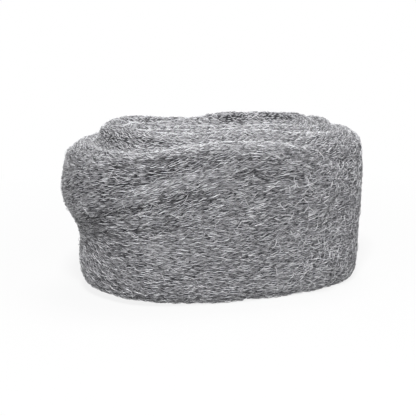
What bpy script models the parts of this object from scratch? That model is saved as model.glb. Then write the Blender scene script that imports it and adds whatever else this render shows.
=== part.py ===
"""Steel wool bundle: one long ribbon of steel wool wound round its own inner end into a flat-sided roll.

The roll stands on one side edge of the ribbon, with its winding axis along +Z. The long way of the
roll is X, and its smooth front, which ends in the loose tail, faces -Y. The origin is on the floor,
under the middle of the roll. The ribbon is one piece, so the roll is one solid.

Places round the roll are phases: whole turns of the winding, counted outwards. Each turn starts at
the left end of the front run and goes on through the right bend, the back run and the left bend.
"""

import math
from dataclasses import dataclass

import bmesh
import bpy
from mathutils import Matrix, Vector

# The ribbon, laid flat, and the narrowest gap between two turns of it.
RIBBON_WIDTH = 0.1035
RIBBON_THICKNESS = 0.0132
TURN_GAP = 0.0007

# The winding: its straight runs, the slot left in the middle, and where the ribbon starts and stops.
CORE_LENGTH = 0.092
EYE_WIDTH = 0.0020
TURNS = 3.28
FIRST_PHASE = -0.04

# The torn ends get thin over these lengths of the winding, in turns. The tail's rows are uneven.
INNER_TAPER = 0.10
TAIL_TAPER = 0.14
TORN_SHARE = 0.22
TORN_REACH = 0.018
TORN_WAVES = 1.7

# How the upper edge lies: higher towards the middle of the roll, and wavy along the ribbon.
CENTRE_RISE = 0.003
EDGE_WAVE = 0.0010
WAVES_PER_TURN = 5.3

# How far the roll is drawn in at its upper and lower shoulders, and how high each shoulder is.
TOP_TUCK = 0.0045
TOP_SHOULDER = 0.016
FOOT_TUCK = 0.0038
FOOT_SHOULDER = 0.016

# The outer turn's edges are rounded off towards the wall, over this share of its thickness.
TOP_ROUND = 0.0042
FOOT_ROUND = 0.0008
ROUND_SHARE = 0.95

# The floor presses the lower edges flat over this height.
FLOOR_PRESS = 0.0032

# The share of a turn that is one straight run. The two bends share what is left.
RUN_SHARE = 0.22
BEND_SHARE = 0.5 - RUN_SHARE

# The cage, before it is subdivided: stations in each run and each bend, and rows over the width.
RUN_STEPS = 6
BEND_STEPS = 8
WIDTH_ROWS = 6
RIM_CREASE = 0.9
LEAST_STEP_SHARE = 0.4

HALF_CORE = CORE_LENGTH / 2
PITCH = RIBBON_THICKNESS + TURN_GAP
EYE_TURNS = 0.5 + RUN_SHARE
START_OFFSET = (RIBBON_THICKNESS + EYE_WIDTH - EYE_TURNS * PITCH) / 2
LAST_PHASE = FIRST_PHASE + TURNS
OUTER_TURN = math.floor(LAST_PHASE) - 1
OUTER_OFFSET = START_OFFSET + PITCH * LAST_PHASE + RIBBON_THICKNESS / 2


@dataclass(frozen=True)
class EdgeShift:
    """A place along the winding where an edge of the ribbon stands higher or lower."""

    phase: float
    spread: float
    rise: float


@dataclass(frozen=True)
class Bulge:
    """A lobe or, with a negative push, a fold in the roll's side.

    turn_share is its place round the roll, and height_share its height as a share of the ribbon's
    width. The slope is that of a fold that runs up or down along the side.
    """

    turn_share: float
    height_share: float
    push: float
    spread_along: float
    spread_up: float
    slope: float = 0.0


LEFT_END = 0.88
RIGHT_END = 0.36

# The last turn slumps where it rounds the left end, the turn inside it stays up, and the fold at
# the inner end stands proud. The torn tail is narrower than the ribbon.
TOP_SHIFTS = (
    EdgeShift(phase=OUTER_TURN + LEFT_END, spread=0.11, rise=-0.0070),
    EdgeShift(phase=OUTER_TURN - 1 + LEFT_END, spread=0.12, rise=0.0034),
    EdgeShift(phase=OUTER_TURN + RIGHT_END, spread=0.10, rise=-0.0045),
    EdgeShift(phase=OUTER_TURN - 1 + RIGHT_END, spread=0.12, rise=-0.0020),
    EdgeShift(phase=0.55, spread=0.068, rise=0.0040),
    EdgeShift(phase=0.12, spread=0.08, rise=-0.0020),
    EdgeShift(phase=LAST_PHASE, spread=0.03, rise=-0.0080),
)
FOOT_SHIFTS = (
    EdgeShift(phase=OUTER_TURN + LEFT_END, spread=0.10, rise=0.0060),
    EdgeShift(phase=OUTER_TURN + RIGHT_END, spread=0.09, rise=0.0006),
    EdgeShift(phase=LAST_PHASE, spread=0.03, rise=0.0030),
)

LEFT_LOBE = Bulge(LEFT_END, 0.67, push=0.0110, spread_along=0.036, spread_up=0.017)
LEFT_WAIST = Bulge(LEFT_END, 0.39, push=-0.0080, spread_along=0.036, spread_up=0.012)
LEFT_FOOT = Bulge(LEFT_END, 0.04, push=-0.0080, spread_along=0.040, spread_up=0.013)
RIGHT_CHEEK = Bulge(RIGHT_END, 0.64, push=0.0060, spread_along=0.030, spread_up=0.022)
UPPER_FOLD = Bulge(0.0, 0.82, push=-0.0035, spread_along=0.026, spread_up=0.006, slope=0.10)
LOWER_FOLD = Bulge(0.98, 0.45, push=-0.0050, spread_along=0.036, spread_up=0.006, slope=0.20)
BULGES = (LEFT_LOBE, LEFT_WAIST, LEFT_FOOT, RIGHT_CHEEK, UPPER_FOLD, LOWER_FOLD)


def mesh_object(name, mesh, collection):
    """An object for the mesh, linked to the collection."""
    made = bpy.data.objects.new(name, mesh)
    collection.objects.link(made)
    return made


def smooth_step(value):
    """0 below 0, 1 above 1, and an S curve between them."""
    share = min(1.0, max(0.0, value))
    return share * share * (3 - 2 * share)


def bell(distance, spread):
    """1 at no distance, falling off smoothly over the spread."""
    return math.exp(-0.5 * (distance / spread) ** 2)


def station_phases():
    """Where the cage's stations are along the winding, closer together in the bends."""
    run = (RUN_SHARE, RUN_STEPS)
    bend = (BEND_SHARE, BEND_STEPS)
    marks = []
    for turn in range(math.floor(FIRST_PHASE), math.ceil(LAST_PHASE)):
        start = float(turn)
        for share, steps in (run, bend, run, bend):
            marks += [start + share * step / steps for step in range(steps)]
            start += share
    shortest = LEAST_STEP_SHARE * min(RUN_SHARE / RUN_STEPS, BEND_SHARE / BEND_STEPS)
    inside = [mark for mark in marks if FIRST_PHASE + shortest < mark < LAST_PHASE - shortest]
    return [FIRST_PHASE, *inside, LAST_PHASE]


def end_share(phase):
    """The share of the full thickness that the ribbon has here: less towards its torn ends."""
    inner = smooth_step((phase - FIRST_PHASE) / INNER_TAPER)
    outer = smooth_step((LAST_PHASE - phase) / TAIL_TAPER)
    return TORN_SHARE + (1 - TORN_SHARE) * min(inner, outer)


def torn_phase(phase, height_share):
    """The phase of a row's station: near the tail, some rows run further round than others."""
    near_tail = smooth_step(1 - (LAST_PHASE - phase) / TAIL_TAPER)
    return phase + TORN_REACH * math.sin(2 * math.pi * TORN_WAVES * height_share) * near_tail


def ring_point(offset, turn_share):
    """A point in plan at an offset from the core: two straight runs and two half-round bends."""
    share = turn_share
    if share < RUN_SHARE:
        return Vector((CORE_LENGTH * share / RUN_SHARE - HALF_CORE, -offset))
    share -= RUN_SHARE
    if share < BEND_SHARE:
        angle = math.pi * share / BEND_SHARE - math.pi / 2
        return Vector((HALF_CORE + offset * math.cos(angle), offset * math.sin(angle)))
    share -= BEND_SHARE
    if share < RUN_SHARE:
        return Vector((HALF_CORE - CORE_LENGTH * share / RUN_SHARE, offset))
    share -= RUN_SHARE
    angle = math.pi * share / BEND_SHARE + math.pi / 2
    return Vector((offset * math.cos(angle) - HALF_CORE, offset * math.sin(angle)))


def winding_point(phase):
    """The middle of the ribbon's thickness, in plan. The thin tail lies against the turn inside it."""
    offset = START_OFFSET + PITCH * phase
    if phase > LAST_PHASE - TAIL_TAPER:
        offset -= RIBBON_THICKNESS * (1 - end_share(phase)) / 2
    return ring_point(offset, phase - math.floor(phase))


def edge_height(phase, height_share):
    """The height above the floor of a row of the ribbon: its edges wander along the winding."""
    depth = (START_OFFSET + PITCH * phase) / OUTER_OFFSET
    top = RIBBON_WIDTH + CENTRE_RISE * (1 - depth * depth)
    top += EDGE_WAVE * math.sin(2 * math.pi * WAVES_PER_TURN * phase)
    top += sum(shift.rise * bell(phase - shift.phase, shift.spread) for shift in TOP_SHIFTS)
    foot = sum(shift.rise * bell(phase - shift.phase, shift.spread) for shift in FOOT_SHIFTS)
    return foot + (top - foot) * height_share


def wound_sheet(name, collection):
    """The ribbon as a sheet with no thickness: a flat grid, wound up."""
    phases = station_phases()
    built = bmesh.new()
    bmesh.ops.create_grid(built, x_segments=len(phases) - 1, y_segments=WIDTH_ROWS, size=1)
    weights = built.verts.layers.deform.verify()
    for vert in built.verts:
        phase = phases[round((vert.co.x + 1) / 2 * (len(phases) - 1))]
        height_share = (vert.co.y + 1) / 2
        middle = winding_point(torn_phase(phase, height_share))
        vert[weights][0] = end_share(phase)
        vert.co = (middle.x, middle.y, edge_height(phase, height_share))
    mesh = bpy.data.meshes.new(name)
    built.to_mesh(mesh)
    built.free()
    sheet = mesh_object(name, mesh, collection)
    sheet.vertex_groups.new(name="thickness")
    return sheet


def thicken(sheet):
    """The sheet gets its thickness, less towards its torn ends, and soft edges."""
    solidify = sheet.modifiers.new("Thickness", "SOLIDIFY")
    solidify.thickness = RIBBON_THICKNESS
    solidify.offset = 0
    solidify.use_even_offset = True
    solidify.vertex_group = "thickness"
    solidify.edge_crease_rim = RIM_CREASE
    soft = sheet.modifiers.new("Soft edges", "SUBSURF")
    soft.levels = 1
    soft.render_levels = 1


def side_push(wall, height):
    """How far the lobes and folds push the outer wall out at this place."""
    pushed = 0.0
    for bulge in BULGES:
        middle = ring_point(OUTER_OFFSET, bulge.turn_share)
        line = bulge.height_share * RIBBON_WIDTH + bulge.slope * (wall.x - middle.x)
        near = bell((wall - middle).length, bulge.spread_along)
        pushed += bulge.push * near * bell(height - line, bulge.spread_up)
    return pushed


def turn_share_at(nearest, outwards):
    """How far round the roll a place in plan is: ring_point, read backwards."""
    run = (nearest.x + HALF_CORE) / CORE_LENGTH
    if 0 < run < 1:
        return RUN_SHARE * run if outwards.y < 0 else RUN_SHARE * (2 - run) + BEND_SHARE
    angle = math.atan2(outwards.y, outwards.x)
    if run >= 1:
        return RUN_SHARE + BEND_SHARE * (angle / math.pi + 0.5)
    return 2 * RUN_SHARE + BEND_SHARE + BEND_SHARE * ((angle / math.pi) % 2 - 0.5)


def wall_offset(turn_share):
    """How far out the roll's wall is here: the outer side of its last turn."""
    phase = turn_share + math.floor(LAST_PHASE - turn_share)
    return START_OFFSET + PITCH * phase + RIBBON_THICKNESS * (end_share(phase) - 0.5)


def squeezed(point):
    """Where a point of the even roll lies once the roll is drawn in, bulged and set on the floor."""
    nearest = Vector((min(HALF_CORE, max(-HALF_CORE, point.x)), 0))
    outwards = point.xy - nearest
    offset = outwards.length
    depth = offset / OUTER_OFFSET
    outwards.normalize()
    over = smooth_step((point.z - RIBBON_WIDTH + TOP_SHOULDER) / TOP_SHOULDER)
    under = smooth_step((FOOT_SHOULDER - point.z) / FOOT_SHOULDER)
    out = offset - depth * (TOP_TUCK * over * over + FOOT_TUCK * under * under)
    out += depth * depth * side_push(nearest + outwards * OUTER_OFFSET, point.z)
    plan = nearest + outwards * out
    inside = wall_offset(turn_share_at(nearest, outwards)) - offset
    near_wall = 1 - smooth_step(inside / (ROUND_SHARE * RIBBON_THICKNESS))
    height = point.z + near_wall * (FOOT_ROUND * under - TOP_ROUND * over)
    return Vector((plan.x, plan.y, max(0.0, height - FLOOR_PRESS)))


def centre_on_floor(mesh):
    """Moves the roll sideways, so that the middle of its outline in plan is over the origin."""
    across = [vert.co.x for vert in mesh.vertices]
    deep = [vert.co.y for vert in mesh.vertices]
    middle = Vector((min(across) + max(across), min(deep) + max(deep), 0)) / 2
    mesh.transform(Matrix.Translation(-middle))


def steel_wool_material():
    """Bare steel wool: mid grey, dull and metallic."""
    material = bpy.data.materials.new("steel_wool")
    material.use_nodes = True
    shader = material.node_tree.nodes["Principled BSDF"]
    shader.inputs["Base Color"].default_value = (0.21, 0.21, 0.225, 1)
    shader.inputs["Metallic"].default_value = 0.6
    shader.inputs["Roughness"].default_value = 0.55
    return material


def steel_wool_roll(collection):
    """The whole bundle: the wound ribbon, squeezed into its resting shape."""
    sheet = wound_sheet("ribbon_sheet", collection)
    thicken(sheet)
    graph = bpy.context.evaluated_depsgraph_get()
    mesh = bpy.data.meshes.new_from_object(sheet.evaluated_get(graph))
    bpy.data.objects.remove(sheet)
    for vert in mesh.vertices:
        vert.co = squeezed(vert.co)
    centre_on_floor(mesh)
    mesh.name = "steel_wool_roll"
    mesh.shade_smooth()
    mesh.materials.append(steel_wool_material())
    return mesh_object("steel_wool_roll", mesh, collection)


def main():
    for old in list(bpy.data.objects):
        bpy.data.objects.remove(old)
    bundle = bpy.data.collections.new("steel_wool_bundle")
    bpy.context.scene.collection.children.link(bundle)
    steel_wool_roll(bundle)


main()
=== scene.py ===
"""The looks of a steel wool bundle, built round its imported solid.

The bundle is one ribbon of steel wool, wound into a flat-sided roll that stands on its edge. A felted
body holds the roll's form, and thousands of separate fibres lie on it: along the winding on the
sides, matted together on top, in curls over the torn tail, and a few stand off as fuzz.
"""

import logging
import math
from dataclasses import dataclass, field
from enum import Enum

import bmesh
import bpy
import numpy as np
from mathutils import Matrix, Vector, noise
from mathutils.bvhtree import BVHTree


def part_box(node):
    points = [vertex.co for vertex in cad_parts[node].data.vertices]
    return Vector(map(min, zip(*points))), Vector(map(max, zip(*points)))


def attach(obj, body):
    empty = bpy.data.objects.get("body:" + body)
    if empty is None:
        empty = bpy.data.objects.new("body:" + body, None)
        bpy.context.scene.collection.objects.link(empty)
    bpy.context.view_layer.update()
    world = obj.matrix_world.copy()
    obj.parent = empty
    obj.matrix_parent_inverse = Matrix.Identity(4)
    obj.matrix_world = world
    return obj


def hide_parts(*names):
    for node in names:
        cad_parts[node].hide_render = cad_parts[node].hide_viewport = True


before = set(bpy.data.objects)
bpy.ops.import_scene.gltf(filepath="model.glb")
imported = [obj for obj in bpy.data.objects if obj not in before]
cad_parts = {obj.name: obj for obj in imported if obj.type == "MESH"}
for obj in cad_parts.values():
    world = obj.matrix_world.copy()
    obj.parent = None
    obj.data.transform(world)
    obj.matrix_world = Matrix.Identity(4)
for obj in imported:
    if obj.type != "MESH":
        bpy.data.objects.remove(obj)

LOG = logging.getLogger("steel_wool_bundle")
NODE = "steel_wool_roll"
BODY = "root"
LAMP_AIM = 0.05
MILLIMETRE = 0.001
TENTHS = 10000

# How far starts are strewn off their face and, in rows, off their row. A fibre with a part shorter
# than the squashed share of its step is left out. Dark and bright fibres are a tone step off.
SCATTER = 0.0006
ROW_JITTER = 0.12
SQUASHED_SHARE = 0.3
# The tone step paints the dark fibres' shadow and the bright fibres' glints.
TONE_STEP = 0.35

# Where the coats change over, each from nothing to in full: how steeply a face looks up or down, how
# high and how far in from the wall the top's grooves are, and where the tangle starts to the right
# and ends to the back. The bare share is how far the underside's fibres are thinned out.
TOP_TILT = (0.45, 0.75)
UNDER_TILT = (0.4, 0.8)
UNDER_BARE = 0.9
GROOVE_HEIGHT = (0.082, 0.088)
GROOVE_INWARDS = (0.006, 0.010)
TANGLE_RIGHT = (0.020, 0.060)
TANGLE_BACK = (0.020, -0.005)

# Where the top is matted less, round the raised inner end's middle and at the left rim, and more.
INNER_END = (0.031, 0.001)
INNER_END_LONG = (0.026, 0.020)
INNER_END_WIDE = (0.016, 0.010)
LEFT_RIM = (-0.052, -0.066)
RIGHT_END = (0.030, 0.055)


class Lie(Enum):
    """How the fibres of a coat lie on the roll."""

    SIDE = "side"
    FRONT = "front"
    BACK = "back"
    TOP = "top"
    TANGLE = "tangle"
    FUZZ = "fuzz"


def unit(vectors: np.ndarray) -> np.ndarray:
    """Rows of vectors, each brought to length one.

    Args:
        vectors: An array of rows.

    Returns:
        The same rows at unit length.
    """
    lengths = np.linalg.norm(vectors, axis=1, keepdims=True)
    return vectors / np.maximum(lengths, 1e-12)


def ramp(values: np.ndarray, start: float, end: float) -> np.ndarray:
    """A smooth step from 0 at the start to 1 at the end.

    Args:
        values: The values to place between the two marks.
        start: Where the step begins.
        end: Where the step is done. It may lie below the start.

    Returns:
        The step's height for each value.
    """
    share = np.clip((values - start) / (end - start), 0, 1)
    return share * share * (3 - 2 * share)


@dataclass(frozen=True)
class RollPlan:
    """The roll's overall form in plan: a stadium round a straight core.

    Args:
        half_core: Half the length of the straight core.
        reach: The distance from the core to the outer wall.
        height: The roll's height.
    """

    half_core: float
    reach: float
    height: float

    @classmethod
    def from_frame(cls) -> "RollPlan":
        """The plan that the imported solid's box gives."""
        low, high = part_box(NODE)
        size = high - low
        return cls(half_core=(size.x - size.y) / 2, reach=size.y / 2, height=size.z)

    def outwards(self, points: np.ndarray) -> np.ndarray:
        """The way out from the core in plan, at each point."""
        core_x = np.clip(points[:, 0], -self.half_core, self.half_core)
        away = np.stack([points[:, 0] - core_x, points[:, 1], np.zeros(len(points))], axis=1)
        return unit(away)

    def distance_out(self, points: np.ndarray) -> np.ndarray:
        """How far each point is from the core in plan."""
        core_x = np.clip(points[:, 0], -self.half_core, self.half_core)
        return np.hypot(points[:, 0] - core_x, points[:, 1])

    def along(self, points: np.ndarray) -> np.ndarray:
        """The way the ribbon runs at each point: to the right along the front."""
        away = self.outwards(points)
        return np.stack([-away[:, 1], away[:, 0], np.zeros(len(points))], axis=1)

    @property
    def girth(self) -> float:
        """The length of the outer wall, once round."""
        return 4 * self.half_core + 2 * math.pi * self.reach

    def unroll(self, points: np.ndarray) -> tuple[np.ndarray, np.ndarray]:
        """Where points lie on the unrolled outer wall, with the top and the foot laid flat.

        Args:
            points: The points on the roll.

        Returns:
            How far to the right of the front's middle they are, along the wall, and how far up.
        """
        away = self.outwards(points)
        turned = np.arctan2(away[:, 0], -away[:, 1])
        core_x = np.clip(points[:, 0], -self.half_core, self.half_core)
        behind = np.abs(turned) > math.pi / 2
        straight = np.where(behind, -core_x, core_x)
        around = self.reach * turned + straight + 2 * self.half_core * np.sign(turned) * behind
        share = np.clip((points[:, 2] - self.height / 2) / (self.height / 4), -1, 1)
        upward = points[:, 2] + (self.reach - self.distance_out(points)) * share
        return around, upward


@dataclass(frozen=True)
class Sweep:
    """A place where the fibres lie at an angle to the winding.

    Args:
        around: How far right of the front's middle it is, along the wall.
        upward: How high it is on the unrolled wall.
        degrees: How far the fibres rise there, going right.
        spread: How far the place reaches.
    """

    around: float
    upward: float
    degrees: float
    spread: float = 0.011


@dataclass(frozen=True)
class Crease:
    """A fold in the wool: a valley, or a ridge where its depth and shade are below nought.

    Args:
        path: Points on the roll that it goes through.
        depth: How far the wool sinks in at the fold.
        width: How far to its sides it fades.
        shade: How much darker the fibres and the felt in it are painted: painted shade in a valley,
            painted light on a ridge.
    """

    path: tuple[tuple[float, float, float], ...]
    depth: float
    width: float
    shade: float

    def nearness(self, points: np.ndarray) -> np.ndarray:
        """How near to the fold points are: one on it, and none far off.

        Args:
            points: The points on the roll.

        Returns:
            The nearness for each point.
        """
        least = np.full(len(points), np.inf)
        for start, end in zip(self.path, self.path[1:]):
            first, line = np.array(start), np.array(end) - np.array(start)
            share = np.clip((points - first) @ line / (line @ line), 0, 1)
            gap = points - first - share[:, None] * line
            least = np.minimum(least, (gap * gap).sum(axis=1))
        return np.exp(-least / self.width**2)


SWEEPS = tuple(
    Sweep(*row)
    for row in (
        (-0.098, 0.085, -2), (-0.090, 0.072, 6), (-0.110, 0.066, 26, 0.013),
        (-0.082, 0.095, 10), (-0.078, 0.126, -30, 0.010), (-0.068, 0.113, -26, 0.010),
        (-0.058, 0.104, -12, 0.010), (-0.082, 0.060, 22, 0.009), (-0.062, 0.074, 16, 0.010),
        (-0.048, 0.060, 17, 0.010), (-0.034, 0.072, 20, 0.012), (-0.014, 0.076, 14, 0.014),
        (0.010, 0.060, 10, 0.016), (-0.086, 0.043, -6, 0.009), (-0.070, 0.037, -6, 0.009),
        (-0.058, 0.029, -4, 0.009), (-0.112, 0.012, -26, 0.012), (-0.096, 0.002, -26, 0.010),
        (-0.084, -0.006, -20, 0.010), (-0.068, -0.008, -12, 0.010), (0.075, 0.088, 16, 0.012),
        (0.064, 0.034, 14, 0.014),
    )
)
PLAIN_LIE = 0.30
STEEPEST = 1.1

# Each row has a depth, a width and a painted shade, and then the path in tenths of a millimetre.
# The shade is painted shade in the valleys and the slots on top, and painted light on the ridges.
CREASES = tuple(
    Crease(tuple(tuple(part / TENTHS for part in point) for point in path), *values)
    for *values, path in (
        (0.0014, 0.0024, 0.42, (
            (-718, -27, 990), (-695, -115, 987), (-660, -176, 985), (-611, -226, 986),
            (-554, -265, 984), (-482, -293, 980), (-396, -312, 967),
        )),
        (0.0020, 0.0036, 0.50, (
            (-729, -366, 854), (-692, -388, 869), (-577, -429, 882), (-490, -440, 897),
            (-390, -449, 905),
        )),
        (0.0014, 0.0030, 0.36, (
            (-390, -449, 905), (-284, -456, 906), (-164, -463, 906), (-47, -478, 896), (75, -481, 878),
            (176, -474, 864), (322, -447, 880),
        )),
        (0.0013, 0.0030, 0.36, (
            (-799, -349, 688), (-704, -406, 736), (-580, -439, 790), (-435, -459, 827),
            (-287, -467, 843), (-138, -476, 847),
        )),
        (-0.0010, 0.0032, -0.16, (
            (-836, -287, 567), (-768, -364, 599), (-697, -421, 638), (-614, -451, 681),
            (-528, -468, 721), (-439, -471, 758), (-349, -472, 782), (-228, -474, 805),
            (-78, -482, 833), (74, -484, 854),
        )),
        (0.0010, 0.0024, 0.32, ((-13, -487, 824), (86, -488, 800), (188, -479, 768), (334, -453, 771))),
        (0.0020, 0.0040, 0.50, (
            (-872, -10, 452), (-840, -247, 527), (-772, -353, 566), (-685, -417, 594),
            (-587, -460, 616), (-485, -484, 638), (-355, -494, 662), (-234, -494, 684),
        )),
        (0.0010, 0.0018, 0.60, ((-780, -243, 442), (-745, -303, 461))),
        (0.0010, 0.0018, 0.60, ((-665, -376, 480), (-614, -391, 468))),
        (0.0006, 0.0012, 0.50, ((-669, -331, 315), (-622, -367, 328))),
        (0.0006, 0.0012, 0.50, ((-611, -393, 254), (-535, -431, 271))),
        (-0.0010, 0.0026, -0.12, (
            (302, -458, 676), (403, -440, 690), (524, -419, 690), (645, -390, 663),
        )),
        (0.0012, 0.0018, 0.60, ((695, -331, 821), (770, -289, 808), (849, -220, 795))),
        # The two slots under the raised inner end's edges: painted shadow, as well as their real depth.
        (0.0020, 0.0032, 0.62, ((95, 80, 1018), (160, 82, 1033), (235, 94, 1046))),
        (0.0020, 0.0032, 0.62, ((379, 75, 1023), (444, 71, 1014), (495, 67, 1006))),
    )
)


@dataclass(frozen=True)
class Grain:
    """How the wool lies everywhere on the roll: its angle, its folds, and its shade, which is painted
    light and shade with random long bands.

    Args:
        plan: The roll's form in plan.
        crinkle: How far, in radians, the crinkles turn the fibres.
        crinkles_per_metre: How close the crinkles are.
        painted_top_light: How much lighter the top is painted: painted light, as the top faces the
            lamps.
        top_tilt: How steeply a face looks up where the top's painted light starts and is in full.
        painted_shoulder_light: How much lighter the wall is painted where it turns over to the top:
            painted light, as the shoulder faces the lamps.
        shoulder_heights: Where that starts and is in full.
        band: How far long bands along the wool go lighter and darker.
        bands_per_metre: How close the bands are.
        band_stretch: How many times longer than wide the bands are.
        front_reach: How far from the front's middle the wool is no longer and still followed to it.
    """

    plan: RollPlan
    crinkle: float = 1.0
    crinkles_per_metre: float = 480.0
    painted_top_light: float = -0.02
    top_tilt: tuple[float, float] = (0.30, 0.75)
    painted_shoulder_light: float = 0.04
    shoulder_heights: tuple[float, float] = (0.074, 0.098)
    band: float = 0.18
    bands_per_metre: float = 260.0
    band_stretch: float = 10.0
    front_reach: tuple[float, float] = (0.200, 0.150)

    def angle(self, points: np.ndarray) -> np.ndarray:
        """How far the wool rises off the winding, in radians, without its crinkles."""
        return self.angle_on_wall(*self.plan.unroll(points))

    @staticmethod
    def angle_on_wall(around: np.ndarray, upward: np.ndarray) -> np.ndarray:
        """The same at places on the unrolled wall.

        Args:
            around: How far right of the front's middle they are.
            upward: How high they are.

        Returns:
            The angles in radians.
        """
        total = np.full(len(around), PLAIN_LIE)
        turned = np.zeros(len(around))
        for sweep in SWEEPS:
            gap = (around - sweep.around) ** 2 + (upward - sweep.upward) ** 2
            weight = np.exp(-gap / (2 * sweep.spread**2))
            total += weight
            turned += weight * math.radians(sweep.degrees)
        return turned / total

    def crinkled(self, points: np.ndarray) -> np.ndarray:
        """How far the crinkles turn the fibres: neighbours crinkle together."""
        scale = self.crinkles_per_metre
        return self.crinkle * np.array([noise.noise(Vector(point) * scale) for point in points])

    def sunk(self, points: np.ndarray) -> np.ndarray:
        """How far the folds sink the wool."""
        return sum(crease.depth * crease.nearness(points) for crease in CREASES)

    def shade(self, points: np.ndarray, normals: np.ndarray) -> np.ndarray:
        """How much lighter than plain the wool is painted, less than nought for darker: painted shade
        in the folds, painted light on the ridges, the top and the shoulder, and random long bands.

        Args:
            points: The points on the roll.
            normals: The way out there.

        Returns:
            The shade for each point, to be added to a tone.
        """
        # Painted shade in the folds and slots, and painted light on the ridges.
        dark = sum(crease.shade * crease.nearness(points) for crease in CREASES)
        scale = self.bands_per_metre
        flow = self.flow(points, self.band_stretch)
        slow = np.array([noise.noise(Vector(point) * scale) for point in flow])
        # Painted light: the top and the shoulder, which face the lamps, are lighter.
        light = self.painted_top_light * ramp(normals[:, 2], *self.top_tilt)
        light += self.painted_shoulder_light * ramp(points[:, 2], *self.shoulder_heights)
        return light + self.band * slow - dark

    def flow(self, points: np.ndarray, stretch: float) -> np.ndarray:
        """Coordinates that follow the wool: a drawn-out pattern on them runs along the fibres.

        Args:
            points: The points on the roll.
            stretch: How many times longer than wide the pattern's spots become.

        Returns:
            One row for each point, in metres.
        """
        around, upward = self.plan.unroll(points)
        traced = self.traced_to_front(around, upward)
        kept = ramp(np.abs(around), *self.front_reach)
        level = traced * kept + upward * (1 - kept)
        radius = self.plan.girth / (2 * math.pi * stretch)
        angle = 2 * math.pi * around / self.plan.girth
        return np.stack([radius * np.cos(angle), radius * np.sin(angle), level], axis=1)

    def traced_to_front(self, around: np.ndarray, upward: np.ndarray, steps: int = 40) -> np.ndarray:
        """Follows the wool from each place to the front's middle.

        Args:
            around: How far right of the front's middle each place is.
            upward: How high it is.
            steps: In how many steps the way is gone.

        Returns:
            How high each way comes out at the front's middle.
        """
        step = -around / steps
        reached, level = around.copy(), upward.copy()
        for _ in range(steps):
            slope = np.tan(np.clip(self.angle_on_wall(reached, level), -STEEPEST, STEEPEST))
            level = level + slope * step
            reached = reached + step
        return level


def linked(name: str, data: bpy.types.ID) -> bpy.types.Object:
    """A new object in the scene.

    Args:
        name: The object's name.
        data: Its mesh, curve, light or camera.

    Returns:
        The object.
    """
    made = bpy.data.objects.new(name, data)
    bpy.context.scene.collection.objects.link(made)
    return made


def made_mesh(source: bpy.types.Object) -> bpy.types.Mesh:
    """A plain mesh of what an object's modifiers or bevel make of it."""
    graph = bpy.context.evaluated_depsgraph_get()
    return bpy.data.meshes.new_from_object(source.evaluated_get(graph))


class NodeBench:
    """Adds and joins nodes in the tree of one new material or world."""

    def __init__(self, owner: bpy.types.ID) -> None:
        """Starts on the owner's own tree.

        Args:
            owner: The material or world.
        """
        owner.use_nodes = True
        self.tree = owner.node_tree

    @property
    def shader(self) -> bpy.types.Node:
        """A material's Principled shader."""
        return self.tree.nodes["Principled BSDF"]

    def add(self, kind: str, feeds: dict | None = None, **settings: object) -> bpy.types.Node:
        """A new node.

        Args:
            kind: The node's Blender type, without the ShaderNode prefix.
            feeds: What goes into its inputs, as in feed.
            **settings: Its properties, and its inputs' defaults under their names with underscores.

        Returns:
            The node.
        """
        node = self.tree.nodes.new("ShaderNode" + kind)
        for name, value in settings.items():
            title = name.replace("_", " ")
            if title in node.inputs:
                node.inputs[title].default_value = value
            else:
                setattr(node, name, value)
        self.feed(node, feeds or {})
        return node

    def feed(self, node: bpy.types.Node, feeds: dict) -> None:
        """Links outputs to a node's inputs, which are the keys: their names or numbers."""
        for place, source in feeds.items():
            self.tree.links.new(source, node.inputs[place])

    def grey_ramp(self, source: bpy.types.NodeSocket, stops: tuple) -> bpy.types.NodeSocket:
        """A colour ramp over a value.

        Args:
            source: The value that drives it.
            stops: Pairs of a position and a colour of three parts.

        Returns:
            The ramp's colour output.
        """
        node = self.add("ValToRGB", {"Fac": source})
        ends = node.color_ramp.elements
        while len(ends) < len(stops):
            ends.new(0.5)
        for end, (position, colour) in zip(ends, stops):
            end.position = position
            end.color = (*colour, 1)
        return node.outputs["Color"]

    def seen_straight(self) -> bpy.types.NodeSocket:
        """One for rays from the camera, and for those that a shiny or clear thing sends on."""
        path = self.add("LightPath").outputs
        seen = path["Is Camera Ray"]
        for ray in ("Is Glossy Ray", "Is Transmission Ray"):
            seen = self.add("Math", {0: seen, 1: path[ray]}, operation="MAXIMUM").outputs["Value"]
        return seen


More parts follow.
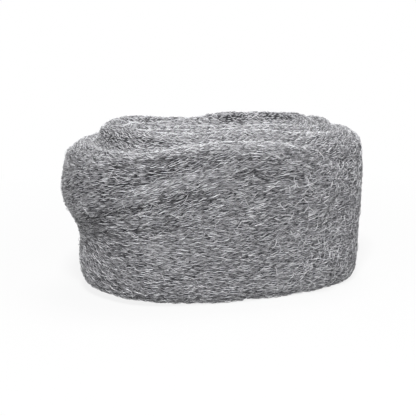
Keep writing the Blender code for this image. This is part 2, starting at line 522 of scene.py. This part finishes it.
@dataclass(frozen=True)
class FeltFinish:
    """The felted body: its dark is painted shade for the deep gaps between the fibres, and its streaks
    are drawn out along them.

    Args:
        dark: The colour of the gaps, which is painted shade.
        light: The colour of the streaks.
        metallic: How metallic it is.
        roughness: How dull it is.
        streaks_per_metre: How close the streaks are.
        crinkles_per_metre: How close their crinkles are.
        crinkle_height: How far the crinkles shift the streaks up and down.
        shade_share: How much of the wool's painted light and shade the streaks follow.
        bump_height: How far the streaks stand out.
    """

    dark: tuple[float, float, float] = (0.020, 0.020, 0.023)
    light: tuple[float, float, float] = (0.25, 0.25, 0.26)
    metallic: float = 0.3
    roughness: float = 0.5
    streaks_per_metre: float = 1600.0
    crinkles_per_metre: float = 480.0
    crinkle_height: float = 0.0013
    shade_share: float = 0.5
    bump_height: float = 0.0007

    def build(self) -> bpy.types.Material:
        """The material, on the body's own flow attribute and its shade attribute of painted light and
        shade.
        """
        material = bpy.data.materials.new("felted_steel")
        bench = NodeBench(material)
        flow = bench.add("Attribute", attribute_name="flow").outputs["Vector"]
        shade = bench.add("Attribute", attribute_name="shade").outputs["Fac"]
        places = {"Vector": bench.add("TexCoord").outputs["Object"]}
        crinkles = bench.add("TexNoise", places, Scale=self.crinkles_per_metre, Detail=1.0)
        half = self.crinkle_height / 2
        crinkle = {"Value": crinkles.outputs["Fac"]}
        height = bench.add("MapRange", crinkle, To_Min=-half, To_Max=half)
        lifted = bench.add("CombineXYZ", {"Z": height.outputs["Result"]})
        both = {0: flow, 1: lifted.outputs["Vector"]}
        warped = {"Vector": bench.add("VectorMath", both, operation="ADD").outputs["Vector"]}
        scale = self.streaks_per_metre
        streaks = bench.add("TexNoise", warped, Scale=scale, Detail=1.0, Roughness=0.5)
        streak = streaks.outputs["Fac"]
        shaded = bench.add("Math", {0: shade, 2: streak}, operation="MULTIPLY_ADD")
        shaded.inputs[1].default_value = self.shade_share
        colour = bench.grey_ramp(shaded.outputs["Value"], ((0.42, self.dark), (0.62, self.light)))
        bump = bench.add("Bump", {"Height": streak}, Strength=0.9, Distance=self.bump_height)
        bench.feed(bench.shader, {"Normal": bump.outputs["Normal"], "Base Color": colour})
        bench.shader.inputs["Metallic"].default_value = self.metallic
        bench.shader.inputs["Roughness"].default_value = self.roughness
        return material


@dataclass(frozen=True)
class FibreFinish:
    """Single steel fibres: each has its own tone, and painted glints in its colour, with a real change
    of roughness, wander along it.

    Args:
        name: The material's name.
        dark: The colour at tone 0.
        middle: The colour at tone 0.5.
        bright: The colour at tone 1.
        metallic: How metallic they are.
        least_roughness: How dull the shiniest parts are.
        most_roughness: How dull the dullest parts are.
        glints_per_metre: How close the changes along a fibre are.
        glint_share: How far they move its tone, as painted glints.
    """

    name: str = "steel_fibre"
    dark: tuple[float, float, float] = (0.025, 0.025, 0.028)
    middle: tuple[float, float, float] = (0.26, 0.26, 0.275)
    bright: tuple[float, float, float] = (0.86, 0.86, 0.885)
    metallic: float = 0.35
    least_roughness: float = 0.32
    most_roughness: float = 0.6
    glints_per_metre: float = 1500.0
    glint_share: float = 0.42

    def build(self) -> bpy.types.Material:
        """The material, on each fibre's tone attribute and on object coordinates."""
        material = bpy.data.materials.new(self.name)
        bench = NodeBench(material)
        tone = bench.add("Attribute", attribute_name="tone").outputs["Fac"]
        places = {"Vector": bench.add("TexCoord").outputs["Object"]}
        glints = bench.add("TexNoise", places, Scale=self.glints_per_metre, Detail=2.0)
        glint = {"Value": glints.outputs["Fac"]}
        # Painted glints: the noise lightens and darkens the colour along each fibre, and also sets its
        # real roughness.
        wander = bench.add("MapRange", glint, To_Min=-self.glint_share, To_Max=self.glint_share)
        total = bench.add("Math", {0: tone, 1: wander.outputs["Result"]}, operation="ADD")
        stops = ((0.0, self.dark), (0.5, self.middle), (1.0, self.bright))
        colour = bench.grey_ramp(total.outputs["Value"], stops)
        dull = bench.add("MapRange", glint, To_Min=self.least_roughness, To_Max=self.most_roughness)
        bench.feed(bench.shader, {"Base Color": colour, "Roughness": dull.outputs["Result"]})
        bench.shader.inputs["Metallic"].default_value = self.metallic
        return material


def rows_of(elements: bpy.types.bpy_prop_collection, what: str, width: int = 3) -> np.ndarray:
    """A property of a mesh's vertices or faces, as rows.

    Args:
        elements: The vertices or faces.
        what: The property: co, normal, center or area.
        width: How many numbers it has.

    Returns:
        One row for each of them.
    """
    values = np.empty(len(elements) * width, np.float32)
    elements.foreach_get(what, values)
    return values.reshape(-1, width).astype(float)


def join_frame(piece: bpy.types.Object, finish: bpy.types.Material) -> None:
    """Gives a piece its finish and its place in the frame.

    Args:
        piece: The piece.
        finish: Its material.
    """
    piece.data.materials.clear()
    piece.data.materials.append(finish)
    piece.data.shade_smooth()
    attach(piece, BODY)
    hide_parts(NODE)


def move_vertices(mesh: bpy.types.Mesh, points: np.ndarray) -> None:
    """Moves a mesh's vertices to new places, none of them below the floor.

    Args:
        mesh: The mesh.
        points: One row for each vertex.
    """
    points[:, 2] = np.maximum(points[:, 2], 0)
    mesh.vertices.foreach_set("co", points.astype(np.float32).ravel())
    mesh.update()


@dataclass
class FeltedBody:
    """The roll's body: the wound solid, felted together so that the fibres have a bed.

    Args:
        grain: How the wool lies.
        voxel: The size of the felt's faces.
        closing: Gaps between turns up to twice this wide are felted shut.
        inset: How far the felt lies below the solid's skin, which the fibres fill again.
        packing: The half size of the wool packed inside, where nothing shows.
        smoothing: Rounds of smoothing after felting.
        matting: Rounds of smoothing that mat the turns' edges together on top.
        matted: How much of the matting the top gets, and how much more its right end gets.
        spared: How much less of it the raised inner end and the left rim get.
        matted_heights: Where the matting starts and is in full.
        matting_levels: How finely the matting's share is graded.
        lumps: The height of slow lumps, and how many there are in a metre.
        ridges: The height of the ridges along the winding, and how many there are in a metre.
        ridge_stretch: How many times longer than wide the ridges are.
    """

    grain: Grain
    voxel: float = 1.25 * MILLIMETRE
    closing: float = 1.2 * MILLIMETRE
    inset: float = 0.3 * MILLIMETRE
    packing: tuple[float, float, float] = (0.056, 0.022, 0.034)
    smoothing: int = 3
    matting: int = 40
    matted: tuple[float, float] = (0.3, 0.7)
    spared: float = 0.7
    matted_heights: tuple[float, float] = (0.086, 0.093)
    matting_levels: int = 10
    lumps: tuple[float, float] = (0.8 * MILLIMETRE, 45.0)
    ridges: tuple[float, float] = (0.22 * MILLIMETRE, 330.0)
    ridge_stretch: float = 5.0
    piece: bpy.types.Object = field(init=False)

    def build(self) -> None:
        """Makes the felted piece, which is the bed of the fibres too."""
        self.piece = self.felted("felted_roll")
        self.mat_top(self.piece)
        self.fold(self.piece.data)
        self.roughen(self.piece.data)

    def felted(self, name: str) -> bpy.types.Object:
        """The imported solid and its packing, melted into one closed skin.

        Args:
            name: The new object's name.

        Returns:
            The object, with a plain mesh.
        """
        built = bmesh.new()
        built.from_mesh(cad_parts[NODE].data)
        bmesh.ops.remove_doubles(built, verts=built.verts, dist=1e-6)
        packing = bmesh.ops.create_cube(built, size=2)["verts"]
        bmesh.ops.scale(built, vec=Vector(self.packing), verts=packing)
        middle = Vector((0, 0, self.grain.plan.height / 2))
        bmesh.ops.translate(built, vec=middle, verts=packing)
        mesh = bpy.data.meshes.new(name)
        built.to_mesh(mesh)
        built.free()
        source = linked(name + "_source", mesh)
        self.add_felting(source)
        skin = made_mesh(source)
        bpy.data.objects.remove(source)
        self.keep_outside(skin)
        return linked(name, skin)

    def add_felting(self, source: bpy.types.Object) -> None:
        """The modifiers that swell the solid, melt it into one skin, and draw it in again."""
        swell = source.modifiers.new("Swell", "DISPLACE")
        swell.mid_level = 0
        swell.strength = self.closing
        melt = source.modifiers.new("Melt", "REMESH")
        melt.mode = "VOXEL"
        melt.voxel_size = self.voxel
        melt.use_smooth_shade = True
        draw_in = source.modifiers.new("Draw in", "DISPLACE")
        draw_in.mid_level = 0
        draw_in.strength = -self.closing - self.inset
        soften = source.modifiers.new("Soften", "SMOOTH")
        soften.iterations = self.smoothing

    @staticmethod
    def keep_outside(skin: bpy.types.Mesh) -> None:
        """Deletes the skins of pockets inside, and keeps the outer one."""
        built = bmesh.new()
        built.from_mesh(skin)
        built.verts.ensure_lookup_table()
        outermost = max(built.verts, key=lambda vert: vert.co.x)
        outside = {outermost}
        edge_of_search = [outermost]
        while edge_of_search:
            vert = edge_of_search.pop()
            for link in vert.link_edges:
                other = link.other_vert(vert)
                if other not in outside:
                    outside.add(other)
                    edge_of_search.append(other)
        inside = [vert for vert in built.verts if vert not in outside]
        bmesh.ops.delete(built, geom=inside, context="VERTS")
        built.to_mesh(skin)
        built.free()

    def mat_top(self, felt: bpy.types.Object) -> None:
        """Smooths the grooves between the turns' edges on top, less where they show in full.

        Args:
            felt: The felted skin, whose mesh is changed.
        """
        points = rows_of(felt.data.vertices, "co")
        x, y, z = points.T
        middle_x, middle_y = INNER_END
        raised_end = ramp(np.abs(y - middle_y), *INNER_END_WIDE)
        raised_end *= ramp(np.abs(x - middle_x), *INNER_END_LONG)
        left_rim, right_end = ramp(x, *LEFT_RIM), ramp(x, *RIGHT_END)
        everywhere, more = self.matted
        share = everywhere * (1 - self.spared * raised_end) * (1 - self.spared * left_rim)
        share = ramp(z, *self.matted_heights) * (share + more * right_end)
        group = felt.vertex_groups.new(name="matted")
        for level in range(1, self.matting_levels + 1):
            chosen = np.nonzero(np.round(share * self.matting_levels) == level)[0]
            group.add(chosen.tolist(), level / self.matting_levels, "REPLACE")
        smooth = felt.modifiers.new("Mat", "SMOOTH")
        smooth.vertex_group = group.name
        smooth.iterations = self.matting
        matted = made_mesh(felt)
        felt.modifiers.clear()
        felt.data = matted
        felt.vertex_groups.clear()

    def fold(self, mesh: bpy.types.Mesh) -> None:
        """Sinks the creases into the felt."""
        points, normals = rows_of(mesh.vertices, "co"), rows_of(mesh.vertices, "normal")
        move_vertices(mesh, points - normals * self.grain.sunk(points)[:, None])

    def roughen(self, mesh: bpy.types.Mesh) -> None:
        """Raises slow lumps and drawn-out ridges, and stores the flow and the painted light and shade.
        """
        points, normals = rows_of(mesh.vertices, "co"), rows_of(mesh.vertices, "normal")
        flow = self.grain.flow(points, self.ridge_stretch)
        shade = self.grain.shade(points, normals)
        lump_height, lump_count = self.lumps
        ridge_height, ridge_count = self.ridges
        raised = np.array(
            [
                lump_height * noise.noise(Vector(point) * lump_count)
                + ridge_height * noise.noise(Vector(spot) * ridge_count)
                for point, spot in zip(points, flow)
            ]
        )
        move_vertices(mesh, points + normals * raised[:, None])
        stored = mesh.attributes.new("flow", "FLOAT_VECTOR", "POINT")
        stored.data.foreach_set("vector", flow.astype(np.float32).ravel())
        shades = mesh.attributes.new("shade", "FLOAT", "POINT")
        shades.data.foreach_set("value", shade.astype(np.float32))


class Room:
    """Which places round the roll its fibres have taken.

    There are margin spare places on each side. A fibre may have no more than the share most_shared
    of its points in places that are taken.
    """

    margin = 4
    most_shared = 0.15

    def __init__(self, low: np.ndarray, high: np.ndarray, cell: float) -> None:
        """Starts with every place free.

        Args:
            low: The lowest corner of the places.
            high: The highest corner.
            cell: The size of one place.
        """
        self.cell = cell
        self.low = low - self.margin * cell
        self.taken = np.zeros(((high - low) / cell).astype(int) + 2 * self.margin + 1, bool)

    def claim(self, lines: np.ndarray, spacing: float, count: int) -> np.ndarray:
        """Picks fibres that lie clear of each other and of all before, in the order in which they come.

        Args:
            lines: The fibres' lines.
            spacing: How far apart they lie at least, or nought for any distance.
            count: How many are wanted at most.

        Returns:
            The numbers of the fibres that are picked.
        """
        if not spacing:
            return np.arange(min(count, len(lines)))
        reach = spacing / self.cell
        span = np.arange(-int(reach), int(reach) + 1)
        across = np.stack(np.meshgrid(span, span, span, indexing="ij"))
        ball = (across**2).sum(axis=0) <= reach**2
        half = int(reach)
        halves = (lines[:, 1:] + lines[:, :-1]) / 2
        samples = np.concatenate([lines, halves], axis=1)
        cells = ((samples - self.low) / self.cell).astype(int)
        cells = np.clip(cells, half, np.array(self.taken.shape) - half - 1)
        picked = []
        for number, fibre in enumerate(cells):
            if self.taken[fibre[:, 0], fibre[:, 1], fibre[:, 2]].mean() > self.most_shared:
                continue
            picked.append(number)
            for x, y, z in fibre - half:
                self.taken[x : x + len(span), y : y + len(span), z : z + len(span)] |= ball
            if len(picked) == count:
                break
        return np.array(picked)


class Bed:
    """The felt's skin, on which the fibres are laid."""

    def __init__(self, source: bpy.types.Object, grain: Grain) -> None:
        """Reads the skin's faces.

        Args:
            source: The object that has the skin.
            grain: How the wool lies on it.
        """
        mesh = source.data
        around = 2 * MILLIMETRE
        points = rows_of(mesh.vertices, "co")
        self.room = Room(points.min(axis=0) - around, points.max(axis=0) + around, MILLIMETRE / 4)
        self.grain = grain
        self.centres = rows_of(mesh.polygons, "center")
        self.normals = rows_of(mesh.polygons, "normal")
        self.areas = rows_of(mesh.polygons, "area", 1)[:, 0]
        graph = bpy.context.evaluated_depsgraph_get()
        self.tree = BVHTree.FromObject(source, graph)

    def snap(self, points: np.ndarray) -> tuple[np.ndarray, np.ndarray]:
        """The nearest places on the skin, and the way out there.

        Args:
            points: One row for each point.

        Returns:
            The places and the normals, as rows.
        """
        places = np.empty_like(points)
        normals = np.empty_like(points)
        for row, point in enumerate(points):
            nearest, normal, _, _ = self.tree.find_nearest(Vector(point))
            places[row] = nearest
            normals[row] = normal
        return places, normals


@dataclass(frozen=True)
class FibreStyle:
    """The fibres of one coat.

    Args:
        count: How many fibres there are.
        joints: How many points a fibre's line has.
        length: The shortest and the longest fibre.
        radius: The thinnest and the thickest fibre.
        lift: How far the fibres' middles stand off the bed, least and most.
        sink: How far their ends go into the bed.
        heading_spread: How far, in radians, fibres lie off the coat's own way.
        crinkle: How much of the wool's crinkle the fibres follow.
        curl: How tightly, in radians for each metre, a fibre curls.
        spacing: How far apart the fibres lie side by side, or nought for a chance fall.
        tries: How many fibres are tried for each that finds its own place.
        row: How far apart the rows are in which the fibres start, or nought for no rows.
        tone: The middle tone, from 0 to 1.
        tone_spread: How far tones go from it.
        dark_share: How many of the fibres are painted darker, as painted shadow.
        bright_share: How many of them are painted brighter, as painted glints.
    """

    count: int
    joints: int = 5
    length: tuple[float, float] = (0.0040, 0.0075)
    radius: tuple[float, float] = (0.00012, 0.00025)
    lift: tuple[float, float] = (0.0001, 0.0007)
    sink: float = 0.0002
    heading_spread: float = 0.16
    crinkle: float = 1.0
    curl: float = 15.0
    spacing: float = 0.0
    tries: int = 3
    row: float = 0.0
    tone: float = 0.52
    tone_spread: float = 0.15
    dark_share: float = 0.22
    bright_share: float = 0.12


@dataclass
class FibreCoat:
    """One coat of separate fibres on a part of the roll.

    Args:
        name: The piece's name.
        lie: How the fibres lie.
        style: What the fibres are like.
        bed: The skin they lie on.
        seed: What the random draws start from.
    """

    name: str
    lie: Lie
    style: FibreStyle
    bed: Bed
    seed: int
    piece: bpy.types.Object = field(init=False)
    shade: np.ndarray = field(init=False)

    def build(self) -> None:
        """Lays the fibres, gives them thickness and makes them one mesh."""
        draw = np.random.default_rng(self.seed)
        lines = self.lay(draw)
        radii = self.thickness(draw)
        tones = self.tones(draw)
        self.piece = self.spun(lines, radii)
        self.store_tones(tones)

    def shares(self) -> np.ndarray:
        """How many of the coat's fibres start on each face of the bed, as shares."""
        centres, normals = self.bed.centres, self.bed.normals
        inwards = self.bed.grain.plan.reach - self.bed.grain.plan.distance_out(centres)
        grooves = ramp(centres[:, 2], *GROOVE_HEIGHT) * ramp(inwards, *GROOVE_INWARDS)
        top = np.maximum(ramp(normals[:, 2], *TOP_TILT), grooves)
        under = ramp(-normals[:, 2], *UNDER_TILT)
        if self.lie is Lie.TOP:
            wanted = top
        elif self.lie is Lie.TANGLE:
            front_right = ramp(centres[:, 0], *TANGLE_RIGHT) * ramp(centres[:, 1], *TANGLE_BACK)
            wanted = front_right * (1 - top) * (1 - under)
        else:
            wanted = (1 - top) * (1 - UNDER_BARE * under)
        if self.lie in (Lie.FRONT, Lie.BACK):
            wanted = wanted * ((centres[:, 1] < 0) == (self.lie is Lie.FRONT))
        wanted = wanted * self.bed.areas
        return wanted / wanted.sum()

    def way(self, points: np.ndarray, normals: np.ndarray, heading: np.ndarray) -> np.ndarray:
        """The direction in which each fibre goes on.

        Args:
            points: Where the fibres are.
            normals: The way out there.
            heading: Each fibre's own turn off the coat's way.

        Returns:
            Unit rows in the skin's plane.
        """
        along = self.bed.grain.plan.along(points)
        along = unit(along - normals * (along * normals).sum(axis=1, keepdims=True))
        across = np.cross(normals, along)
        turned = self.bed.grain.angle(points) + heading
        return along * np.cos(turned)[:, None] + across * np.sin(turned)[:, None]

    def in_rows(
        self, places: np.ndarray, normals: np.ndarray, draw: np.random.Generator
    ) -> tuple[np.ndarray, np.ndarray]:
        """Moves the fibres' starts onto rows that run with the wool.

        Args:
            places: Where the fibres start.
            normals: The way out there.
            draw: Where the random numbers come from.

        Returns:
            The new places and the normals there.
        """
        rows = self.bed.grain.flow(places, 1.0)[:, 2] / self.style.row
        missed = np.round(rows) - rows + draw.normal(0, ROW_JITTER, len(rows))
        across = self.way(places, normals, np.full(len(rows), math.pi / 2))
        return self.bed.snap(places + across * (missed * self.style.row)[:, None])

    def lay(self, draw: np.random.Generator) -> np.ndarray:
        """Traces every fibre over the bed.

        Args:
            draw: Where the random numbers come from.

        Returns:
            An array of fibres by joints by three.
        """
        style = self.style
        tried = style.count * (style.tries if style.spacing else 1)
        faces = draw.choice(len(self.bed.centres), size=tried, p=self.shares())
        scatter = draw.normal(0, SCATTER, (tried, 3))
        places, normals = self.bed.snap(self.bed.centres[faces] + scatter)
        if style.row:
            places, normals = self.in_rows(places, normals, draw)
        # The painted light and shade where each fibre starts, from the folds, the ridges, the top and
        # the shoulder.
        shade = self.bed.grain.shade(places, normals)
        step = draw.uniform(*style.length, tried) / (style.joints - 1)
        start_heading = draw.normal(0, style.heading_spread, tried)
        start_heading += math.pi * (draw.random(tried) < 0.5)
        curl = draw.normal(0, style.curl, tried)
        lift = draw.uniform(*style.lift, tried)
        lines = np.empty((tried, style.joints, 3))
        for joint in range(style.joints):
            arch = math.sin(math.pi * joint / (style.joints - 1)) ** 0.6
            height = lift * arch - style.sink * (1 - arch)
            lines[:, joint] = places + normals * height[:, None]
            if joint == style.joints - 1:
                break
            heading = start_heading + curl * step * joint
            heading += style.crinkle * self.bed.grain.crinkled(places)
            places = places + self.way(places, normals, heading) * step[:, None]
            places, normals = self.bed.snap(places)
        lines[:, :, 2] = np.maximum(lines[:, :, 2], style.radius[1])
        shortest = np.linalg.norm(np.diff(lines, axis=1), axis=2).min(axis=1)
        whole = shortest > SQUASHED_SHARE * step
        lines, shade = lines[whole], shade[whole]
        chosen = self.bed.room.claim(lines, style.spacing, style.count)
        self.shade = shade[chosen]
        return lines[chosen]

    def thickness(self, draw: np.random.Generator) -> np.ndarray:
        """Each fibre's radius at each of its joints, less towards its ends."""
        style = self.style
        share = np.linspace(0, math.pi, style.joints)
        taper = 0.35 + 0.65 * np.sin(share) ** 0.5
        return draw.uniform(*style.radius, len(self.shade))[:, None] * taper[None, :]

    def tones(self, draw: np.random.Generator) -> np.ndarray:
        """Each fibre's tone, from 0 for the darkest to 1 for the brightest."""
        style = self.style
        tones = draw.normal(style.tone, style.tone_spread, len(self.shade))
        chance = draw.random(len(self.shade))
        tones = np.where(chance < style.dark_share, tones - TONE_STEP, tones)
        tones = np.where(chance > 1 - style.bright_share, tones + TONE_STEP, tones)
        # Each tone takes on the painted light and shade where its fibre starts.
        return np.clip(tones + self.shade, 0, 1)

    def spun(self, lines: np.ndarray, radii: np.ndarray) -> bpy.types.Object:
        """The fibres as one mesh object: a three-sided tube with closed ends for each line.

        Args:
            lines: The fibres' lines.
            radii: The fibres' radii.

        Returns:
            The object.
        """
        section = three_sided_section()
        curve = bpy.data.curves.new(self.name + "_lines", "CURVE")
        curve.dimensions = "3D"
        curve.bevel_mode = "OBJECT"
        curve.bevel_object = section
        curve.use_fill_caps = True
        for line, radius in zip(lines, radii):
            spline = curve.splines.new("POLY")
            spline.points.add(len(line) - 1)
            spline.points.foreach_set("co", np.column_stack([line, np.ones(len(line))]).ravel())
            spline.points.foreach_set("radius", radius)
        source = linked(self.name + "_lines", curve)
        mesh = made_mesh(source)
        bpy.data.objects.remove(source)
        bpy.data.curves.remove(curve)
        bpy.data.objects.remove(section)
        mesh.name = self.name
        return linked(self.name, mesh)

    def store_tones(self, tones: np.ndarray) -> None:
        """Writes each fibre's tone on its vertices."""
        mesh = self.piece.data
        each = len(mesh.vertices) // len(tones)
        stored = mesh.attributes.new("tone", "FLOAT", "POINT")
        stored.data.foreach_set("value", np.repeat(tones, each).astype(np.float32))


def three_sided_section() -> bpy.types.Object:
    """A triangle of unit radius, for a fibre's section."""
    curve = bpy.data.curves.new("fibre_section", "CURVE")
    curve.dimensions = "2D"
    spline = curve.splines.new("POLY")
    spline.points.add(2)
    for corner, point in enumerate(spline.points):
        angle = 2 * math.pi * corner / 3
        point.co = (math.cos(angle), math.sin(angle), 0, 1)
    spline.use_cyclic_u = True
    return linked("fibre_section", curve)


@dataclass(frozen=True)
class Lamp:
    """A square soft lamp that looks at the roll's middle.

    Args:
        name: The lamp's name.
        place: Where it hangs.
        size: How wide it is.
        power: Its power in watts.
    """

    name: str
    place: tuple[float, float, float]
    size: float
    power: float

    def hang(self) -> None:
        """Puts the lamp up."""
        light = bpy.data.lights.new(self.name, "AREA")
        light.energy = self.power
        light.size = self.size
        lamp = linked(self.name, light)
        lamp.location = self.place
        aim = Vector((0, 0, LAMP_AIM)) - Vector(self.place)
        lamp.rotation_euler = aim.to_track_quat("-Z", "Y").to_euler()


LAMPS = (
    Lamp("key_lamp", (-0.32, -0.90, 1.20), 0.22, 27.0),
    Lamp("top_lamp", (0.25, 0.25, 1.40), 0.60, 8.0),
    Lamp("fill_lamp", (1.20, -0.80, 0.55), 0.80, 3.5),
)


@dataclass(frozen=True)
class Studio:
    """The plain pale floor, the soft lamps and the camera.

    Args:
        azimuth: How far to the right of the front the camera stands, in degrees.
        elevation: How far above the floor's level it looks from, in degrees.
        distance: How far it is from what it looks at.
        view_width: How much it shows, in metres, at that distance.
        aim_right: How far right of the roll's middle it aims.
        aim_up: How high above the floor it aims.
        floor_size: How wide the floor is.
        floor_white: How white it is.
        floor_glow: How much of what the camera sees is the floor's glow, under the object.
        shadow_reach: How far from the middle that grows, and where the floor is all glow.
        sky_light: How strong the even light from all round is.
    """

    azimuth: float = -16.0
    elevation: float = 14.0
    distance: float = 1.0
    view_width: float = 0.25792
    aim_right: float = -0.0045
    aim_up: float = 0.048
    floor_size: float = 6.0
    floor_white: float = 0.60
    floor_glow: float = 0.86
    shadow_reach: tuple[float, float] = (0.14, 0.34)
    sky_light: float = 0.20

    def build(self) -> None:
        """Sets everything up round the object."""
        self.lay_floor()
        self.light_sky()
        for lamp in LAMPS:
            lamp.hang()
        self.place_camera()

    def lay_floor(self) -> None:
        """A wide pale floor that keeps the object's shadow and melts into the backdrop."""
        built = bmesh.new()
        bmesh.ops.create_grid(built, x_segments=1, y_segments=1, size=self.floor_size / 2)
        mesh = bpy.data.meshes.new("studio_floor")
        built.to_mesh(mesh)
        built.free()
        floor = linked("studio_floor", mesh)
        floor.data.materials.append(self.floor_finish())

    def floor_finish(self) -> bpy.types.Material:
        """White, partly glowing to what looks at it, so that only a faint shadow is left."""
        material = bpy.data.materials.new("pale_floor")
        bench = NodeBench(material)
        shade = self.floor_white
        bench.shader.inputs["Base Color"].default_value = (shade, shade, shade, 1)
        bench.shader.inputs["Roughness"].default_value = 0.9
        glow = bench.add("Emission", Strength=1.0).outputs["Emission"]
        places = {0: bench.add("TexCoord").outputs["Object"]}
        far = {"Value": bench.add("VectorMath", places, operation="LENGTH").outputs["Value"]}
        least, most = self.shadow_reach
        whole = bench.add("MapRange", far, From_Min=least, From_Max=most, To_Min=self.floor_glow)
        both = {0: bench.seen_straight(), 1: whole.outputs["Result"]}
        share = bench.add("Math", both, operation="MULTIPLY").outputs["Value"]
        mix = bench.add("MixShader", {"Fac": share, 1: bench.shader.outputs["BSDF"], 2: glow})
        bench.feed(bench.tree.nodes["Material Output"], {"Surface": mix.outputs["Shader"]})
        return material

    def light_sky(self) -> None:
        """An even, soft light from all round, which looks white itself."""
        world = bpy.data.worlds.new("studio_world")
        bpy.context.scene.world = world
        bench = NodeBench(world)
        backdrop = bench.tree.nodes["Background"]
        backdrop.inputs["Color"].default_value = (1, 1, 1, 1)
        seen = {"Value": bench.seen_straight()}
        strength = bench.add("MapRange", seen, To_Min=self.sky_light, To_Max=1.0)
        bench.feed(backdrop, {"Strength": strength.outputs["Result"]})

    def place_camera(self) -> None:
        """The camera, where the photograph was taken from."""
        turned = math.radians(self.azimuth)
        raised = math.radians(self.elevation)
        level = math.cos(raised)
        back = Vector((math.sin(turned) * level, -math.cos(turned) * level, math.sin(raised)))
        right = Vector((math.cos(turned), math.sin(turned), 0))
        aim = right * self.aim_right + Vector((0, 0, self.aim_up))
        lens = bpy.data.cameras.new("camera")
        lens.sensor_width = 36
        lens.lens = lens.sensor_width * self.distance / self.view_width
        camera = linked("camera", lens)
        camera.location = aim + back * self.distance
        camera.rotation_euler = (-back).to_track_quat("-Z", "Y").to_euler()
        bpy.context.scene.camera = camera


def coats(bed: Bed) -> list[FibreCoat]:
    """The coats of fibres, in the order in which they take their room."""
    ridges = FibreStyle(
        count=7500, length=(0.0034, 0.0068), radius=(0.00016, 0.00022), lift=(0.0004, 0.0008),
        heading_spread=0.05, curl=10.0, crinkle=0.6, spacing=0.0005, tries=9, row=0.00090,
        tone=0.65, tone_spread=0.14, dark_share=0.04, bright_share=0.10,
    )
    fillers = FibreStyle(
        count=13000, joints=3, length=(0.0014, 0.0030), radius=(0.00015, 0.00021),
        lift=(0.0003, 0.0007), crinkle=0.6, spacing=0.0005, tries=5, row=0.00090,
        tone=0.61, tone_spread=0.14, dark_share=0.06, bright_share=0.12,
    )
    strays = FibreStyle(
        count=1800, length=(0.005, 0.009), radius=(0.00011, 0.00018), heading_spread=0.35,
        lift=(0.0004, 0.0009), tone=0.66,
    )
    # The top's fibres have a lighter tone: painted light, as the top faces the lamps.
    top = FibreStyle(
        count=6500, joints=4, length=(0.0024, 0.0050), radius=(0.00015, 0.00021),
        lift=(0.0003, 0.0006), heading_spread=0.25, crinkle=0.8, spacing=0.0005, tries=6,
        tone=0.80, tone_spread=0.13, dark_share=0.05, bright_share=0.10,
    )
    tangle = FibreStyle(
        count=1500, joints=7, length=(0.005, 0.009), radius=(0.00012, 0.00019),
        heading_spread=0.9, curl=150.0, lift=(0.0004, 0.0010),
        tone=0.62, tone_spread=0.26, dark_share=0.20, bright_share=0.30,
    )
    fuzz = FibreStyle(
        count=400, joints=7, length=(0.006, 0.012), radius=(0.00009, 0.00015),
        lift=(0.0006, 0.0015), heading_spread=0.8, curl=110.0, tone=0.6,
    )
    return [
        FibreCoat("front_fibres", Lie.FRONT, ridges, bed, seed=12),
        FibreCoat("back_fibres", Lie.BACK, ridges, bed, seed=14),
        FibreCoat("filling_fibres", Lie.SIDE, fillers, bed, seed=11),
        FibreCoat("stray_fibres", Lie.SIDE, strays, bed, seed=13),
        FibreCoat("top_fibres", Lie.TOP, top, bed, seed=21),
        FibreCoat("tail_tangle", Lie.TANGLE, tangle, bed, seed=31),
        FibreCoat("loose_fuzz", Lie.FUZZ, fuzz, bed, seed=41),
    ]


def triangles(piece: bpy.types.Object) -> int:
    """How many triangles a piece's mesh has."""
    return sum(len(face.vertices) - 2 for face in piece.data.polygons)


def main() -> None:
    """Builds the roll and its studio, and reports each piece."""
    logging.basicConfig(level=logging.INFO, format="%(message)s")
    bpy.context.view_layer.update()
    bpy.context.scene.view_settings.view_transform = "Standard"
    plan = RollPlan.from_frame()
    grain = Grain(plan)
    body = FeltedBody(grain)
    body.build()
    join_frame(body.piece, FeltFinish().build())
    LOG.info("%s: %d triangles", body.piece.name, triangles(body.piece))
    bed = Bed(body.piece, grain)
    finish = FibreFinish().build()
    for coat in coats(bed):
        coat.build()
        join_frame(coat.piece, finish)
        LOG.info("%s: %d triangles", coat.name, triangles(coat.piece))
    Studio().build()


if __name__ == "__main__":
    main()
